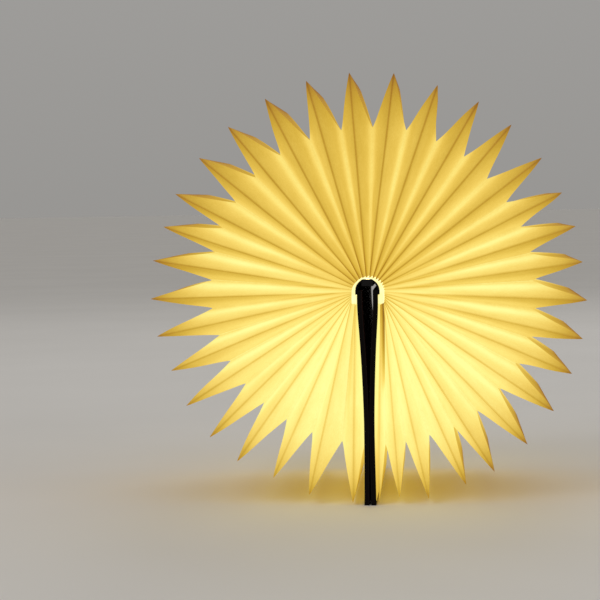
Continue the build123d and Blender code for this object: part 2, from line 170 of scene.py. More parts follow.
# the diffuser's crown is a little flatter than its sides, and the folds start closer over it
ROOT_RISE, SHELL_IN_RISE, SHELL_OUT_RISE = 11.5, 10.6, 11.1
REAR_FROM = 0.42                       # the rear edge curves in earlier, which keeps the notches deep
FRONT_SHARE = 0.4                      # how much of that curve the front edge has


def rounded(t, start=VALLEY_FROM):
    """Depth share at t: straight at the ridge, rounding off at the valley."""
    full = (1 + start) / 2
    if t < start:
        return t / full
    return (t - (t - start) ** 2 / (2 * (1 - start))) / full


def smooth(t):
    t = max(0.0, min(1.0, t))
    return t * t * (3 - 2 * t)


def new_object(name, data, mats=()):
    ob = bpy.data.objects.new(name, data)
    scene.collection.objects.link(ob)
    for m in mats:
        data.materials.append(m)
    return ob


def set_floats(mesh, name, values):
    layer = mesh.attributes.new(name, "FLOAT", "POINT")
    layer.data.foreach_set("value", np.array(values, np.float32))


def paper_segment(word, number, ridges, material):
    """One run of pleats as a thin sheet: front, fore-edge and rear in one piece."""
    side = 1 if word == "right" else -1
    if side < 0:
        ridges = ridges[::-1]          # always clockwise from here on
    first = ridges[0]
    folds = [("valley", 35 if first == 1 else 18 if first == 19 else first - 1)]
    for k in ridges:
        folds += [("ridge", k), ("valley", k)]
    lines = [fold(kind, k, side) for kind, k in folds]
    columns = []
    for (a, b), (fa, fb) in zip(zip(folds, folds[1:]), zip(lines, lines[1:])):
        rising = b[0] == "ridge"       # from a valley up to a ridge
        ridge_no = b[1] if rising else a[1]
        ridge_line, valley_line = (fb, fa) if rising else (fa, fb)
        va = near_angle(ridge_line[1], valley_line[1])
        # panels glued to a cover at their far side
        end = (rising and b == ("ridge", 18)) or (not rising and a == ("ridge", 19))
        ts = ACROSS[::-1] if rising else ACROSS
        for i, t in enumerate(ts):
            if columns and i == 0:
                continue
            g = rounded(t)
            root = tuple(r + (v - r) * t for r, v in zip(ridge_line[0], valley_line[0]))
            angle = ridge_line[1] + (va - ridge_line[1]) * t
            radius = ridge_line[2] + (valley_line[2] - ridge_line[2]) * t
            drop = (ridge_line[2] - valley_line[2]) * (rounded(t, REAR_FROM) - t)
            tuck = REAR_TUCK.get(ridge_no, 0.0) * (1 - t)
            columns.append((root, angle, radius, PLEAT_DEPTH * g, t, -1.0 if rising else 1.0, ridge_no,
                            abs(va - ridge_line[1]), tuck, drop, end))
    rows = [("front", i / NU) for i in range(NU + 1)]
    rows += [("edge", i / NF) for i in range(1, NF)]
    rows += [("rear", 1 - i / NU) for i in range(NU + 1)]
    verts = []
    values = {k: [] for k in ("pleat", "crease", "reach", "along", "upper", "seed", "turn", "shade")}
    for root, angle, radius, depth, t, sign, ridge_no, span, tuck, drop, end in columns:
        half = PAPER_HALF - depth
        across = Vector((math.cos(math.radians(angle)), 0.0, -math.sin(math.radians(angle))))
        a = angle % 360
        turn = (a if a <= 180 else 360 - a) / 180.0
        for part, u in rows:
            tip = polar(angle, radius - drop * FRONT_SHARE)
            if part == "edge":
                tip = polar(angle, radius - tuck * u - drop * (FRONT_SHARE + (1 - FRONT_SHARE) * smooth(u / 0.25)))
                x, z = tip
                y = -half + 2 * half * u
                w = 1.0
            else:
                if part == "rear":
                    tip = polar(angle, radius - tuck - drop)
                x = root[0] + (tip[0] - root[0]) * u
                z = root[1] + (tip[1] - root[1]) * u
                y = -half if part == "front" else half
                w = u
            p = Vector((x, y, z))
            r = math.hypot(x, z - ARCH_Z)
            # the paper isn't dead flat: a slow wander, least on the ridges and at the root
            n = noise.noise(Vector((x * 0.013 + 3.1 * ridge_no, y * 0.011, z * 0.013 + 7.7)))
            m = noise.noise(Vector((x * 0.035, y * 0.03 + 5.3 * ridge_no, z * 0.035)))
            p += across * (n * 0.9 + m * 0.45) * w * (0.2 + 0.8 * math.sin(math.pi * min(1.0, t * 1.15)))
            verts.append(p * MM)
            values["pleat"].append(t)
            values["crease"].append(t * math.radians(span) * r)
            values["reach"].append(r / 170.0)
            values["along"].append(y / PAPER_HALF)
            values["upper"].append(-sign * math.sin(math.radians(angle)))
            values["seed"].append(noise.noise(Vector((ridge_no * 1.37 + 0.2, 0.5, sign * 2.1))))
            values["turn"].append(turn)
            # the last full panel on either side turns away from the light
            dim = 0.0
            if end and part != "rear":
                near = max(0.0, 1.0 - max(0.0, r - 12.0) / (70.0 if side > 0 else 110.0))
                dim = (0.88 if side > 0 else 0.24) * near ** 0.8 * (0.12 + 0.88 * min(1.0, t / 0.62) ** 1.6)
            values["shade"].append(dim)
    rows_n = len(rows)
    faces = []
    for c in range(len(columns) - 1):
        for r in range(rows_n - 1):
            a = c * rows_n + r
            faces.append((a, a + rows_n, a + rows_n + 1, a + 1))
    mesh = bpy.data.meshes.new(f"paper_{word}_{number}")
    mesh.from_pydata(verts, [], faces)
    for attr, vals in values.items():
        set_floats(mesh, attr, vals)
    rest = mesh.attributes.new("rest", "FLOAT_VECTOR", "POINT")
    rest.data.foreach_set("vector", np.array([c for v in verts for c in v], np.float32))
    mesh.validate()
    # smooth inside a panel, creased at the ridges and the corners of the U
    sharp_cols = {i for i, c in enumerate(columns) if c[4] == 0.0}
    sharp_rows = {NU, NU + NF}
    for p in mesh.polygons:
        p.use_smooth = True
    edge_sharp = mesh.attributes.get("sharp_edge") or mesh.attributes.new("sharp_edge", "BOOLEAN", "EDGE")
    flags = np.zeros(len(mesh.edges), bool)
    for e in mesh.edges:
        a, b = e.vertices
        ca, ra, cb, rb = a // rows_n, a % rows_n, b // rows_n, b % rows_n
        if (ca == cb and ca in sharp_cols) or (ra == rb and ra in sharp_rows):
            flags[e.index] = True
    edge_sharp.data.foreach_set("value", flags)
    area = sum(p.area for p in mesh.polygons)
    # flat cut: the panels side by side, as long as the longest fold's path
    path = max(2 * math.dist(l[0], polar(l[1], l[2])) for l in lines) + 2 * PAPER_HALF
    panel = 0.0
    for la, lb in zip(lines, lines[1:]):
        a, b = polar(la[1], la[2]), polar(lb[1], lb[2])
        panel += math.sqrt(PLEAT_DEPTH ** 2 + math.dist(a, b) ** 2)
    ob = new_object(f"paper_sheet_{word}_{number}", mesh, [material])
    thick = ob.modifiers.new("thickness", "SOLIDIFY")
    thick.thickness = 0.22 * MM
    thick.offset = 0.0
    return ob, panel * MM, path * MM, area


# ---------------------------------------------------------------------------
# Materials
# ---------------------------------------------------------------------------
def material(name):
    m = bpy.data.materials.new(name)
    m.use_nodes = True
    nt = m.node_tree
    return m, nt, nt.nodes["Principled BSDF"]


def math_node(nt, op, a, b=None, c=None, clamp=False):
    n = nt.nodes.new("ShaderNodeMath")
    n.operation = op
    n.use_clamp = clamp
    for i, v in enumerate((a, b, c)):
        if v is None:
            continue
        if isinstance(v, (int, float)):
            n.inputs[i].default_value = v
        else:
            nt.links.new(v, n.inputs[i])
    return n.outputs[0]


def attribute(nt, name):
    n = nt.nodes.new("ShaderNodeAttribute")
    n.attribute_name = name
    return n


def ramp(nt, fac, stops, mode="LINEAR"):
    n = nt.nodes.new("ShaderNodeValToRGB")
    n.color_ramp.interpolation = mode
    els = n.color_ramp.elements
    while len(els) > 1:
        els.remove(els[-1])
    for i, (pos, col) in enumerate(stops):
        e = els[0] if i == 0 else els.new(pos)
        e.position = pos
        e.color = (*col, 1.0) if len(col) == 3 else col
    nt.links.new(fac, n.inputs[0])
    return n.outputs[0]


def curve(nt, value, points):
    """A smooth one-dimensional curve through a few points."""
    n = nt.nodes.new("ShaderNodeFloatCurve")
    c = n.mapping.curves[0]
    while len(c.points) > 2:
        c.points.remove(c.points[1])
    c.points[0].location = points[0]
    c.points[1].location = points[-1]
    for p in points[1:-1]:
        c.points.new(*p)
    n.mapping.update()
    nt.links.new(value, n.inputs["Value"])
    return n.outputs[0]


def scaled_coords(nt, source, scale):
    n = nt.nodes.new("ShaderNodeMapping")
    n.inputs["Scale"].default_value = scale
    nt.links.new(source, n.inputs["Vector"])
    return n.outputs[0]


def object_coords(nt):
    return nt.nodes.new("ShaderNodeTexCoord").outputs["Object"]


def noise_tex(nt, coords, scale, detail=4.0, rough=0.55):
    n = nt.nodes.new("ShaderNodeTexNoise")
    n.inputs["Scale"].default_value = scale
    n.inputs["Detail"].default_value = detail
    n.inputs["Roughness"].default_value = rough
    nt.links.new(coords, n.inputs["Vector"])
    return n.outputs["Fac"]


def bump(nt, bsdf, height, strength, distance):
    n = nt.nodes.new("ShaderNodeBump")
    n.inputs["Strength"].default_value = strength
    n.inputs["Distance"].default_value = distance
    nt.links.new(height, n.inputs["Height"])
    nt.links.new(n.outputs["Normal"], bsdf.inputs["Normal"])


def srgb(r, g, b):
    return tuple(((c / 255 + 0.055) / 1.055) ** 2.4 if c > 10 else c / 255 / 12.92 for c in (r, g, b))


GLOW = [(0.0, srgb(62, 26, 3)), (0.10, srgb(106, 54, 6)), (0.22, srgb(138, 86, 9)), (0.34, srgb(162, 113, 18)),
        (0.46, srgb(184, 140, 36)), (0.56, srgb(199, 160, 49)), (0.63, srgb(212, 175, 64)), (0.70, srgb(226, 190, 80)),
        (0.77, srgb(239, 205, 97)), (0.83, srgb(247, 218, 112)), (0.89, srgb(252, 231, 128)),
        (0.95, srgb(253, 244, 146)), (1.0, srgb(255, 254, 160))]


def paper_material():
    m, nt, bsdf = material("bellows_paper")
    # the paper's glow is painted light: the inner lights shining through it, drawn as emission; the curves below paint
    # its light and shade across the folds
    pleat = attribute(nt, "pleat").outputs["Fac"]
    crease = attribute(nt, "crease").outputs["Fac"]
    reach = attribute(nt, "reach").outputs["Fac"]
    along = attribute(nt, "along").outputs["Fac"]
    seed = attribute(nt, "seed").outputs["Fac"]
    turn = attribute(nt, "turn").outputs["Fac"]
    upper = attribute(nt, "upper").outputs["Fac"]
    shade = attribute(nt, "shade").outputs["Fac"]
    rest = attribute(nt, "rest").outputs["Vector"]
    # panel brightness: golden at the top of the star, almost white lower down
    panel = curve(nt, turn, [(0.0, 0.645), (0.14, 0.65), (0.28, 0.665), (0.4, 0.692), (0.5, 0.72), (0.6, 0.785), (0.7, 0.845), (0.8, 0.875), (1.0, 0.88)])
    # the panels that face up are the brighter ones at the sides
    tilt = curve(nt, turn, [(0.0, 0.0), (0.28, 0.014), (0.4, 0.05), (0.5, 0.078), (0.6, 0.045), (0.7, 0.005), (1.0, 0.0)])
    side_on = curve(nt, pleat, [(0.0, 0.35), (0.12, 0.9), (0.35, 1.0), (0.6, 0.6), (0.85, 0.2), (1.0, 0.0)])
    level = math_node(nt, "ADD", panel, math_node(nt, "MULTIPLY", math_node(nt, "MULTIPLY", upper, tilt), side_on))
    # light gathers along the valley, at the sides more to its lower edge
    shift = curve(nt, turn, [(0.0, 0.02), (0.28, 0.15), (0.5, 0.29), (0.7, 0.25), (1.0, 0.1)])
    centre = math_node(nt, "SUBTRACT", 0.98, math_node(nt, "MULTIPLY", upper, shift))
    hump = math_node(nt, "EXPONENT", math_node(nt, "MULTIPLY", math_node(nt, "POWER", math_node(nt, "DIVIDE", math_node(nt, "ABSOLUTE", math_node(nt, "SUBTRACT", pleat, centre)), 0.23), 2.0), -1.0))
    peak = curve(nt, turn, [(0.0, 0.18), (0.14, 0.175), (0.28, 0.12), (0.5, 0.135), (0.7, 0.075), (1.0, 0.06)])
    far = curve(nt, reach, [(0.0, 0.4), (0.2, 0.55), (0.4, 0.9), (0.55, 1.0), (1.0, 1.0)])
    level = math_node(nt, "ADD", level, math_node(nt, "MULTIPLY", math_node(nt, "MULTIPLY", hump, peak), far))
    broad = curve(nt, pleat, [(0.0, 0.0), (0.12, 0.02), (0.5, 0.4), (1.0, 1.0)])
    rise = curve(nt, turn, [(0.0, 0.03), (0.14, 0.05), (0.28, 0.115), (0.5, 0.085), (0.7, 0.06), (1.0, 0.05)])
    level = math_node(nt, "ADD", level, math_node(nt, "MULTIPLY", broad, rise))
    # next to the arch the folds stand out bright and the valleys sink
    near = curve(nt, reach, [(0.0, 1.0), (0.2, 0.8), (0.36, 0.3), (0.52, 0.0), (1.0, 0.0)])
    lift = curve(nt, turn, [(0.0, 0.0), (0.24, 0.0), (0.36, 0.08), (0.5, 0.225), (0.62, 0.06), (0.8, 0.0), (1.0, 0.0)])
    sink = curve(nt, turn, [(0.0, -0.03), (0.2, 0.03), (0.3, 0.12), (0.4, 0.3), (0.5, 0.46), (0.6, 0.22), (0.7, 0.06), (1.0, 0.02)])
    level = math_node(nt, "ADD", level, math_node(nt, "MULTIPLY", near, math_node(nt, "SUBTRACT", lift, math_node(nt, "MULTIPLY", sink, pleat))))
    # the crease itself: a fine line of painted shade with a little softer painted shade beside it
    width = curve(nt, reach, [(0.0, 0.26), (0.08, 0.3), (0.25, 0.46), (0.45, 0.58), (1.0, 0.62)])
    fine = math_node(nt, "EXPONENT", math_node(nt, "MULTIPLY", math_node(nt, "POWER", math_node(nt, "DIVIDE", crease, width), 2.0), -1.0))
    soft = math_node(nt, "EXPONENT", math_node(nt, "MULTIPLY", crease, -0.7))
    line = math_node(nt, "ADD", math_node(nt, "MULTIPLY", fine, 0.86), math_node(nt, "MULTIPLY", soft, 0.24))
    depth = curve(nt, turn, [(0.0, 0.2), (0.2, 0.195), (0.28, 0.18), (0.5, 0.115), (0.68, 0.14), (1.0, 0.11)])
    calm = curve(nt, reach, [(0.0, 1.0), (0.12, 1.0), (0.22, 0.9), (0.34, 0.92), (0.45, 1.0), (1.0, 1.0)])
    calm = math_node(nt, "MULTIPLY", calm, curve(nt, reach, [(0.0, 1.0), (0.1, 0.9), (0.24, 0.62), (1.0, 0.6)]))
    calm = math_node(nt, "MULTIPLY", calm, 1.65)
    level = math_node(nt, "SUBTRACT", level, math_node(nt, "MULTIPLY", math_node(nt, "MULTIPLY", line, depth), calm))
    # each panel a little different
    level = math_node(nt, "ADD", level, math_node(nt, "MULTIPLY", seed, 0.04))
    level = math_node(nt, "SUBTRACT", level, shade)
    # painted light falling off beyond the valley corners, painted shade leaving the very tips brown
    out = curve(nt, reach, [(0.0, 1.0), (0.72, 1.0), (0.8, 0.95), (0.88, 0.85), (0.945, 0.7), (0.98, 0.54), (1.0, 0.38)])
    level = math_node(nt, "MULTIPLY", level, out)
    # the fore-edge faces lie further from the light
    body = math_node(nt, "ABSOLUTE", along)
    inset = curve(nt, body, [(0.0, 0.86), (0.45, 0.88), (0.6, 0.95), (0.66, 1.0), (1.0, 1.0)])
    level = math_node(nt, "MULTIPLY", level, inset)
    # fibres and cloudy formation
    fibre = noise_tex(nt, rest, 520.0, 6.0, 0.65)
    cloud = noise_tex(nt, rest, 46.0, 3.0)
    grain = math_node(nt, "ADD", math_node(nt, "MULTIPLY", math_node(nt, "SUBTRACT", fibre, 0.5), 0.10),
                      math_node(nt, "MULTIPLY", math_node(nt, "SUBTRACT", cloud, 0.5), 0.10))
    level = math_node(nt, "ADD", level, grain, clamp=True)
    glow = ramp(nt, level, GLOW)
    nt.links.new(glow, bsdf.inputs["Emission Color"])
    bsdf.inputs["Emission Strength"].default_value = 0.93
    tint = ramp(nt, fibre, [(0.3, (0.085, 0.07, 0.03)), (0.7, (0.12, 0.10, 0.045))])
    nt.links.new(tint, bsdf.inputs["Base Color"])
    bsdf.inputs["Roughness"].default_value = 0.85
    bsdf.inputs["Specular IOR Level"].default_value = 0.15
    bump(nt, bsdf, fibre, 0.25, 0.0002)
    return m


def end_paper_material():
    """The lining of the covers, lit by what comes through the last fold."""
    m, nt, bsdf = material("end_paper")
    co = object_coords(nt)
    split = nt.nodes.new("ShaderNodeSeparateXYZ")
    nt.links.new(co, split.inputs[0])
    height = math_node(nt, "MULTIPLY", split.outputs["Z"], 6.6)
    lit = curve(nt, height, [(0.0, 0.62), (0.2, 0.76), (0.34, 0.9), (0.6, 0.95), (1.0, 0.93)])
    fibre = noise_tex(nt, co, 520.0, 6.0, 0.65)
    cloud = noise_tex(nt, co, 40.0, 3.0)
    level = math_node(nt, "ADD", lit, math_node(nt, "MULTIPLY", math_node(nt, "SUBTRACT", fibre, 0.5), 0.10))
    level = math_node(nt, "ADD", level, math_node(nt, "MULTIPLY", math_node(nt, "SUBTRACT", cloud, 0.5), 0.10), clamp=True)
    glow = ramp(nt, level, GLOW)
    nt.links.new(glow, bsdf.inputs["Emission Color"])
    bsdf.inputs["Emission Strength"].default_value = 0.93
    tint = ramp(nt, fibre, [(0.3, (0.085, 0.07, 0.03)), (0.7, (0.12, 0.10, 0.045))])
    nt.links.new(tint, bsdf.inputs["Base Color"])
    bsdf.inputs["Roughness"].default_value = 0.85
    bump(nt, bsdf, fibre, 0.25, 0.0002)
    return m


def board_material():
    """Black-stained fibreboard: fine fibres, a few paler flecks."""
    m, nt, bsdf = material("black_board")
    co = object_coords(nt)
    fine = noise_tex(nt, scaled_coords(nt, co, (1.0, 0.3, 1.0)), 2600.0, 5.0, 0.6)
    flecks = noise_tex(nt, scaled_coords(nt, co, (1.0, 0.12, 1.0)), 900.0, 2.0)
    mixed = math_node(nt, "ADD", math_node(nt, "MULTIPLY", fine, 0.6), math_node(nt, "MULTIPLY", flecks, 0.4))
    col = ramp(nt, mixed, [(0.35, (0.0022, 0.0014, 0.0012)), (0.6, (0.005, 0.003, 0.0025)), (0.75, (0.014, 0.008, 0.0065))])
    nt.links.new(col, bsdf.inputs["Base Color"])
    rough = ramp(nt, fine, [(0.3, (0.8, 0.8, 0.8)), (0.7, (0.95, 0.95, 0.95))])
    nt.links.new(rough, bsdf.inputs["Roughness"])
    bsdf.inputs["Specular IOR Level"].default_value = 0.1
    bump(nt, bsdf, mixed, 0.5, 0.0003)
    return m


def covering_material():
    """Dark brown grained covering: pebbled cells, worn a little lighter on the high spots."""
    m, nt, bsdf = material("brown_covering")
    co = object_coords(nt)
    warp = noise_tex(nt, co, 220.0, 3.0)
    cells = nt.nodes.new("ShaderNodeTexVoronoi")
    cells.inputs["Scale"].default_value = 820.0
    nt.links.new(co, cells.inputs["Vector"])
    grain = math_node(nt, "ADD", math_node(nt, "MULTIPLY", cells.outputs["Distance"], 0.7), math_node(nt, "MULTIPLY", warp, 0.4))
    col = ramp(nt, grain, [(0.25, (0.085, 0.027, 0.016)), (0.55, (0.056, 0.017, 0.010)), (0.85, (0.026, 0.008, 0.005))])
    # the end faces (normals along the length) are painted near-black: painted shade for the covers' ends lying in
    # shadow
    facing = nt.nodes.new("ShaderNodeSeparateXYZ")
    nt.links.new(nt.nodes.new("ShaderNodeTexCoord").outputs["Normal"], facing.inputs[0])
    end_face_shade = math_node(nt, "GREATER_THAN", math_node(nt, "ABSOLUTE", facing.outputs["Y"]), 0.6)
    mix = nt.nodes.new("ShaderNodeMix")
    mix.data_type = "RGBA"
    nt.links.new(end_face_shade, mix.inputs["Factor"])
    nt.links.new(col, mix.inputs["A"])
    mix.inputs["B"].default_value = (0.004, 0.0022, 0.0018, 1)
    nt.links.new(mix.outputs["Result"], bsdf.inputs["Base Color"])
    rough = ramp(nt, warp, [(0.3, (0.62, 0.62, 0.62)), (0.7, (0.8, 0.8, 0.8))])
    nt.links.new(rough, bsdf.inputs["Roughness"])
    bsdf.inputs["Specular IOR Level"].default_value = 0.12
    inv = math_node(nt, "SUBTRACT", 1.0, grain)
    bump(nt, bsdf, inv, 0.55, 0.0005)
    return m


def strip_material():
    """Flexible strip: matte, with fine ribs along its length."""
    m, nt, bsdf = material("hinge_strip")
    co = object_coords(nt)
    ribs = nt.nodes.new("ShaderNodeTexWave")
    ribs.bands_direction = "Z"
    ribs.inputs["Scale"].default_value = 260.0
    ribs.inputs["Distortion"].default_value = 0.4
    nt.links.new(co, ribs.inputs["Vector"])
    dust = noise_tex(nt, co, 700.0, 4.0)
    col = ramp(nt, dust, [(0.3, (0.0022, 0.0019, 0.0019)), (0.75, (0.008, 0.0065, 0.0065))])
    nt.links.new(col, bsdf.inputs["Base Color"])
    bsdf.inputs["Roughness"].default_value = 0.85
    bsdf.inputs["Specular IOR Level"].default_value = 0.1
    bump(nt, bsdf, ribs.outputs["Fac"], 0.4, 0.0003)
    return m


def diffuser_material():
    m, nt, bsdf = material("diffuser_silicone")
    co = object_coords(nt)
    split = nt.nodes.new("ShaderNodeSeparateXYZ")
    nt.links.new(co, split.inputs[0])
    # faint brighter spots where the lights sit behind it
    spots = math_node(nt, "COSINE", math_node(nt, "MULTIPLY", split.outputs["Y"], 2 * math.pi / 0.0112))
    haze = noise_tex(nt, co, 150.0, 3.0)
    v = math_node(nt, "ADD", math_node(nt, "MULTIPLY", spots, 0.16), haze)
    col = ramp(nt, v, [(0.25, srgb(253, 240, 160)), (0.55, srgb(255, 251, 190)), (0.85, srgb(255, 255, 214))])
    nt.links.new(col, bsdf.inputs["Emission Color"])
    bsdf.inputs["Emission Strength"].default_value = 1.0
    bsdf.inputs["Base Color"].default_value = (0.30, 0.28, 0.2, 1)
    bsdf.inputs["Roughness"].default_value = 0.5
    bump(nt, bsdf, haze, 0.08, 0.0003)
    return m


def flex_material():
    """Amber film with thin copper tracks along it."""
    m, nt, bsdf = material("flex_circuit")
    co = object_coords(nt)
    tracks = nt.nodes.new("ShaderNodeTexWave")
    tracks.bands_direction = "Z"
    tracks.inputs["Scale"].default_value = 190.0
    tracks.inputs["Distortion"].default_value = 0.0
    nt.links.new(co, tracks.inputs["Vector"])
    stain = noise_tex(nt, co, 300.0, 3.0)
    v = math_node(nt, "ADD", math_node(nt, "MULTIPLY", tracks.outputs["Fac"], 0.8), math_node(nt, "MULTIPLY", stain, 0.2))
    col = ramp(nt, v, [(0.35, (0.46, 0.22, 0.045)), (0.6, (0.40, 0.17, 0.03)), (0.75, (0.62, 0.30, 0.12))])
    nt.links.new(col, bsdf.inputs["Base Color"])
    bsdf.inputs["Roughness"].default_value = 0.35
    bump(nt, bsdf, tracks.outputs["Fac"], 0.15, 0.0001)
    return m


def led_material():
    m, nt, bsdf = material("led_package")
    co = object_coords(nt)
    grains = noise_tex(nt, co, 2200.0, 4.0)
    col = ramp(nt, grains, [(0.3, srgb(255, 232, 150)), (0.7, srgb(255, 248, 205))])
    nt.links.new(col, bsdf.inputs["Emission Color"])
    bsdf.inputs["Emission Strength"].default_value = 3.0
    base = ramp(nt, grains, [(0.3, (0.85, 0.66, 0.16)), (0.7, (0.95, 0.82, 0.35))])
    nt.links.new(base, bsdf.inputs["Base Color"])
    bsdf.inputs["Roughness"].default_value = 0.25
    return m


def led_board_material():
    """White solder mask with a faint relief of the tracks below."""
    m, nt, bsdf = material("led_board")
    co = object_coords(nt)
    bricks = nt.nodes.new("ShaderNodeTexBrick")
    bricks.inputs["Scale"].default_value = 120.0
    bricks.inputs["Mortar Size"].default_value = 0.03
    bricks.inputs["Color1"].default_value = (0.86, 0.86, 0.84, 1)
    bricks.inputs["Color2"].default_value = (0.80, 0.80, 0.78, 1)
    bricks.inputs["Mortar"].default_value = (0.66, 0.66, 0.63, 1)
    nt.links.new(co, bricks.inputs["Vector"])
    nt.links.new(bricks.outputs["Color"], bsdf.inputs["Base Color"])
    bsdf.inputs["Roughness"].default_value = 0.4
    bump(nt, bsdf, noise_tex(nt, co, 900.0, 3.0), 0.1, 0.0001)
    return m


def rail_material():
    """Black anodised channel, drawn along its length."""
    m, nt, bsdf = material("rail_aluminium")
    co = object_coords(nt)
    drawn = noise_tex(nt, scaled_coords(nt, co, (1.0, 0.02, 1.0)), 3000.0, 4.0, 0.7)
    col = ramp(nt, drawn, [(0.3, (0.012, 0.012, 0.013)), (0.7, (0.032, 0.032, 0.034))])
    nt.links.new(col, bsdf.inputs["Base Color"])
    bsdf.inputs["Metallic"].default_value = 0.85
    rough = ramp(nt, drawn, [(0.3, (0.3, 0.3, 0.3)), (0.7, (0.48, 0.48, 0.48))])
    nt.links.new(rough, bsdf.inputs["Roughness"])
    bump(nt, bsdf, drawn, 0.15, 0.0001)
    return m


def plastic_material(name, dark, light, rough, scale=1600.0, strength=0.3):
    m, nt, bsdf = material(name)
    co = object_coords(nt)
    n = noise_tex(nt, co, scale, 5.0, 0.6)
    col = ramp(nt, n, [(0.3, dark), (0.7, light)])
    nt.links.new(col, bsdf.inputs["Base Color"])
    bsdf.inputs["Roughness"].default_value = rough
    bsdf.inputs["Specular IOR Level"].default_value = 0.3
    bump(nt, bsdf, n, strength, 0.0002)
    return m


def circuit_material():
    """Green solder mask over tracks, with the chips' tops darker."""
    m, nt, bsdf = material("circuit_board")
    co = object_coords(nt)
    tracks = nt.nodes.new("ShaderNodeTexBrick")
    tracks.inputs["Scale"].default_value = 420.0
    tracks.inputs["Mortar Size"].default_value = 0.06
    tracks.inputs["Color1"].default_value = (0.012, 0.10, 0.04, 1)
    tracks.inputs["Color2"].default_value = (0.016, 0.13, 0.05, 1)
    tracks.inputs["Mortar"].default_value = (0.05, 0.24, 0.09, 1)
    nt.links.new(co, tracks.inputs["Vector"])
    split = nt.nodes.new("ShaderNodeSeparateXYZ")
    nt.links.new(co, split.inputs[0])
    top = math_node(nt, "GREATER_THAN", split.outputs["Z"], 0.17335)
    mix = nt.nodes.new("ShaderNodeMix")
    mix.data_type = "RGBA"
    nt.links.new(top, mix.inputs["Factor"])
    nt.links.new(tracks.outputs["Color"], mix.inputs["A"])
    mix.inputs["B"].default_value = (0.018, 0.018, 0.02, 1)
    nt.links.new(mix.outputs["Result"], bsdf.inputs["Base Color"])
    bsdf.inputs["Roughness"].default_value = 0.35
    bump(nt, bsdf, noise_tex(nt, co, 1500.0, 3.0), 0.1, 0.0001)
    return m


def metal_material(name, dark, light, rough, stretch):
    m, nt, bsdf = material(name)
    co = object_coords(nt)
    n = noise_tex(nt, scaled_coords(nt, co, stretch), 2400.0, 4.0, 0.65)
    col = ramp(nt, n, [(0.3, dark), (0.7, light)])
    nt.links.new(col, bsdf.inputs["Base Color"])
    bsdf.inputs["Metallic"].default_value = 1.0
    r = ramp(nt, n, [(0.3, (rough,) * 3), (0.7, (rough + 0.15,) * 3)])
    nt.links.new(r, bsdf.inputs["Roughness"])
    bump(nt, bsdf, n, 0.12, 0.0001)
    return m


PAPER = paper_material()
DIFFUSER = diffuser_material()
FLEX = flex_material()
LED = led_material()
STRIP = strip_material()
MATERIALS = {
    "bellows_paper": PAPER, "end_paper": end_paper_material(), "black_board": board_material(),
    "brown_covering": covering_material(), "hinge_strip": STRIP, "diffuser_silicone": DIFFUSER,
    "flex_circuit": FLEX, "led_package": LED, "led_board": led_board_material(), "rail_aluminium": rail_material(),
    "cap_plastic": plastic_material("cap_plastic", (0.002, 0.002, 0.002), (0.007, 0.006, 0.006), 0.85),
    "circuit_board": circuit_material(),
    "chip_plastic": plastic_material("chip_plastic", (0.012, 0.012, 0.013), (0.03, 0.03, 0.032), 0.5),
    "port_steel": metal_material("port_steel", (0.5, 0.5, 0.51), (0.66, 0.66, 0.67), 0.22, (0.1, 1.0, 1.0)),
    "magnet_nickel": metal_material("magnet_nickel", (0.6, 0.59, 0.56), (0.74, 0.73, 0.70), 0.12, (1.0, 1.0, 1.0)),
    "cell_pouch": metal_material("cell_pouch", (0.5, 0.51, 0.52), (0.7, 0.71, 0.72), 0.3, (0.5, 1.0, 1.0)),
}
slots = {s["node"]: s["material_slot"] for s in frame["record"]["subparts"]}
for name, ob in frame["nodes"].items():
    mat = MATERIALS["end_paper" if "end_paper" in name else slots[name]]
    ob.data.materials.clear()
    ob.data.materials.append(mat)

# ---------------------------------------------------------------------------
# Paper
# ---------------------------------------------------------------------------
joint_names = {j["name"] for j in frame["joints"]}
for word, table in SEGMENTS.items():
    side = 1 if word == "right" else -1
    for number, ridges in enumerate(table, 1):
        sheet, width, length, cut = paper_segment(word, number, ridges, PAPER)
        body = f"paper_{word}_{number}"
        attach(sheet, body)
        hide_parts(body)
        # the fan's middle direction, about which it folds flat as the covers close; it is only worked out here, no fold
        # is applied
        ordered = ridges if side > 0 else ridges[::-1]
        first = fold("valley", 35 if ordered[0] == 1 else 18 if ordered[0] == 19 else ordered[0] - 1, side)
        last = fold("valley", ordered[-1], side)
        root = ((first[0][0] + last[0][0]) / 2, (first[0][1] + last[0][1]) / 2)
        mid = Vector((0.0, 0.0))
        for line in (first, last):
            tip = polar(line[1], line[2])
            mid += Vector((tip[0] - root[0], tip[1] - root[1])).normalized()
        mid.normalize()
        # a small lean for the right-hand pleats, which when closed lean out a little, clear of the first left-hand
        # pleat reaching over the middle; here it only turns that middle direction
        lean = math.radians(LEAN[number - 1]) if side > 0 else 0.0
        mid = Vector((mid[0] * math.cos(lean) + mid[1] * math.sin(lean), mid[1] * math.cos(lean) - mid[0] * math.sin(lean)))
        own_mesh(sheet)
        print("SHEET", sheet.name, round(width * 1000, 1), round(length * 1000, 1), round(cut * 1e4, 1), "cm2")


# ---------------------------------------------------------------------------
# Soft pieces of the arch
# ---------------------------------------------------------------------------
def extruded(name, outline, y0, y1, mats, closed=True, bevel=0.0):
    """A profile in XZ, as a closed loop of points in millimetres, drawn out along Y."""
    n = len(outline)
    steps = 24
    verts = []
    for j in range(steps + 1):
        y = y0 + (y1 - y0) * j / steps
        verts += [(x * MM, y * MM, z * MM) for x, z in outline]
    faces = []
    for j in range(steps):
        for i in range(n):
            a, b = j * n + i, j * n + (i + 1) % n
            faces.append((a, b, b + n, a + n))
    half = n // 2                      # outline runs out along one side and back along the other
    for base, flip in ((0, False), (steps * n, True)):
        for i in range(half - 1):
            quad = (base + i, base + i + 1, base + n - 2 - i, base + n - 1 - i)
            faces.append(quad if flip else quad[::-1])
    return verts, faces


